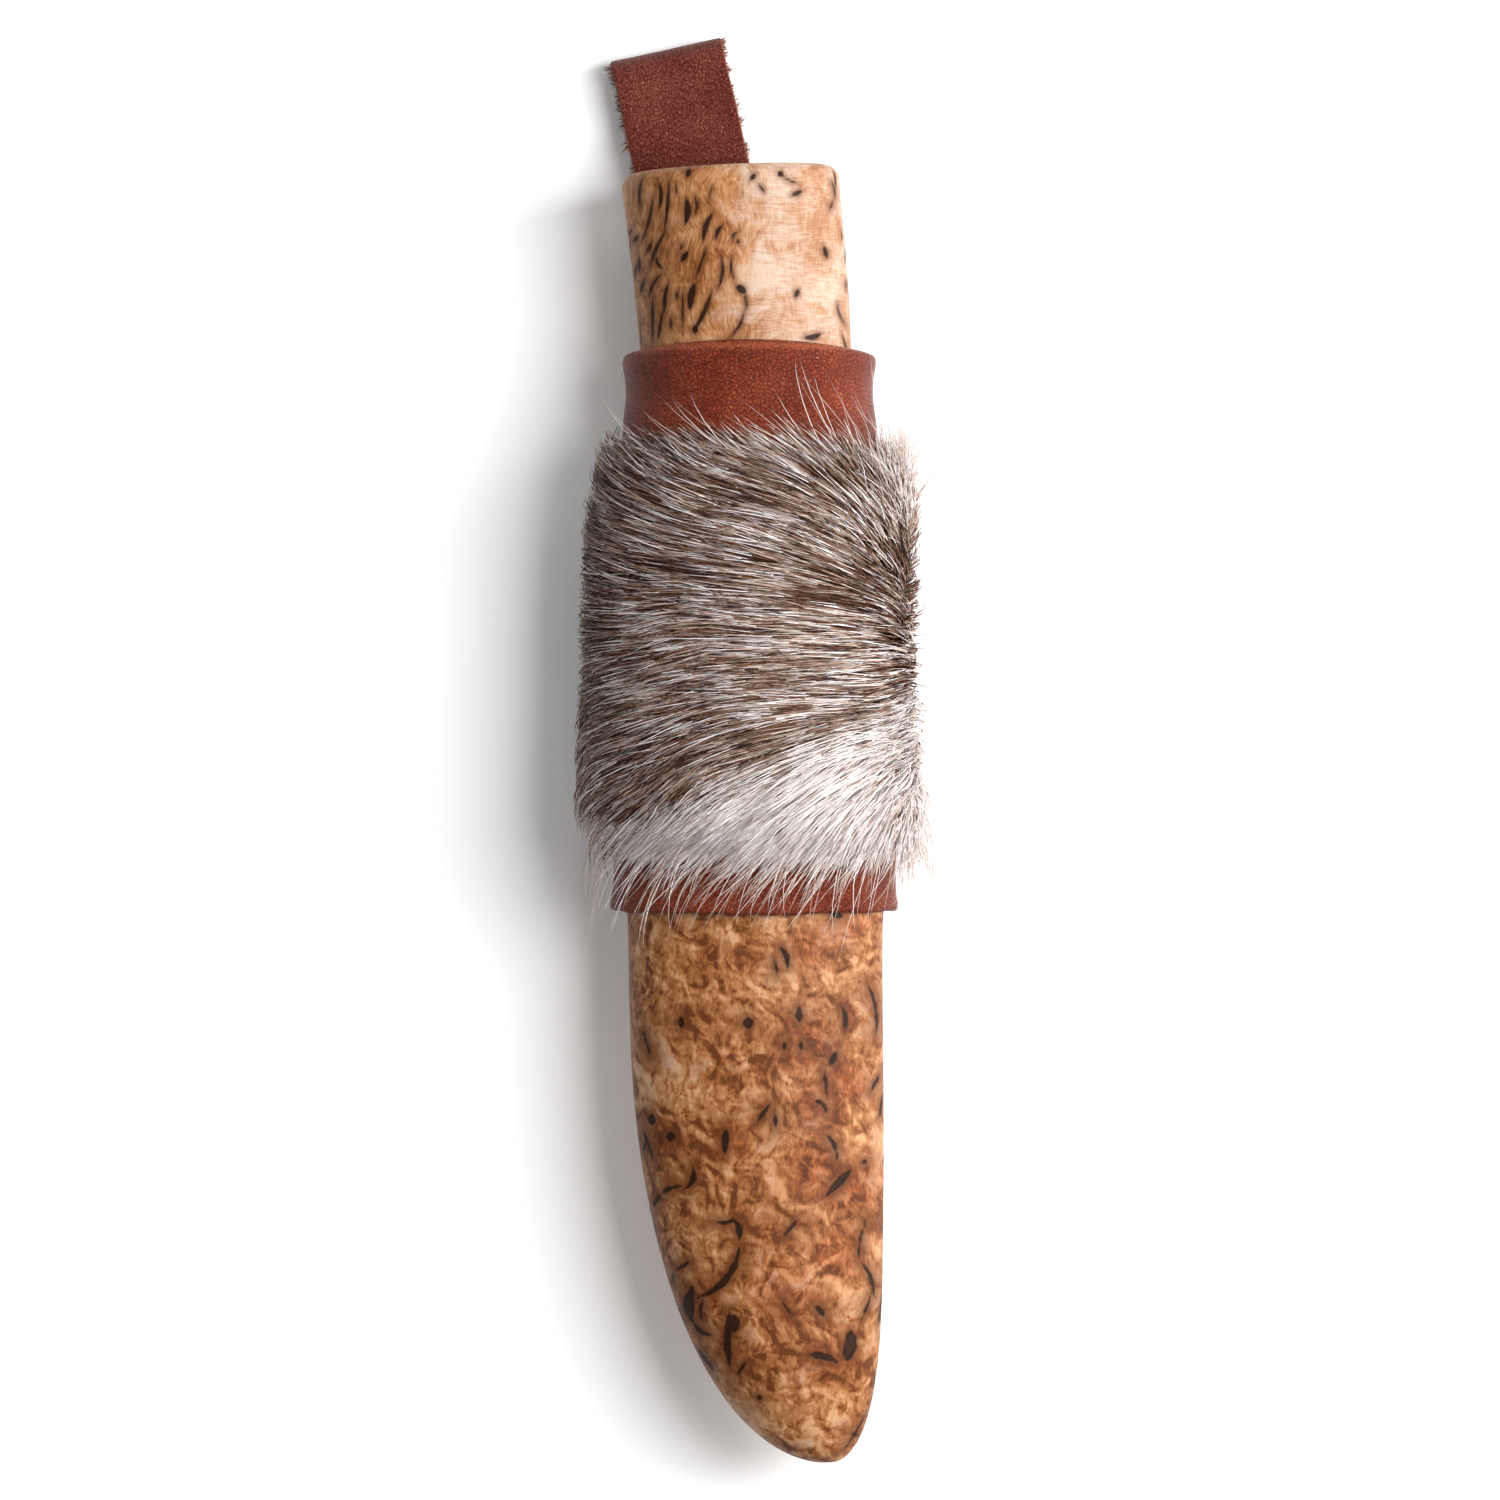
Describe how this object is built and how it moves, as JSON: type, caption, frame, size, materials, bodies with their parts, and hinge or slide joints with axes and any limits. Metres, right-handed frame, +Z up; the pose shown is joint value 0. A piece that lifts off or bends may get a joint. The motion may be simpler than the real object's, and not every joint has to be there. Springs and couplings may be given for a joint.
{
  "type": "belt knife in sheath",
  "caption": "Short belt knife with an oval birch handle, pushed home in a birch and leather sheath with a fur band and a belt loop.",
  "frame": {"origin": "on the surface the sheath lies on, under the middle of the object's length and width", "axes": "+Y along the sheath towards the handle, +Z up through the sheath's front face, +X to the right as seen from the front"},
  "size_m": [0.0556, 0.221, 0.0421],
  "materials": {
    "curly_birch": "oiled curly birch",
    "sleeve_leather": "smooth vegetable-tanned leather",
    "strap_leather": "grained leather with raw edges",
    "reindeer_hide": "raw skin side",
    "reindeer_hair": "long glossy hair",
    "linen_thread": "waxed linen",
    "blade_steel": "ground and polished",
    "brass": "satin",
    "birch_bark": "stacked bark"
  },
  "bodies": {
    "sheath": {"sheath_front_half": "curly_birch", "sheath_back_half": "curly_birch", "leather_sleeve": "sleeve_leather", "sleeve_seam_thread": "linen_thread", "hide_band": "reindeer_hide", "hide_seam_thread": "linen_thread", "fur_pile": "reindeer_hair", "loop_rivet_post": "brass", "loop_rivet_cap": "brass"},
    "knife": {"blade": "blade_steel", "bolster": "brass", "bark_spacer": "birch_bark", "handle": "curly_birch"},
    "loop": {"belt_loop": "strap_leather"}
  },
  "joints": [
    {"name": "knife_draw", "type": "slide", "parent": "sheath", "child": "knife", "axis": [0, 1, 0], "range_m": [0, 0.165]},
    {"name": "loop_swing", "type": "hinge", "parent": "sheath", "child": "loop", "pos_m": [-0.0025, 0.0545, 0.0026], "axis": [0, 0, 1], "range_deg": [-37.5, 12.5]}
  ]
}
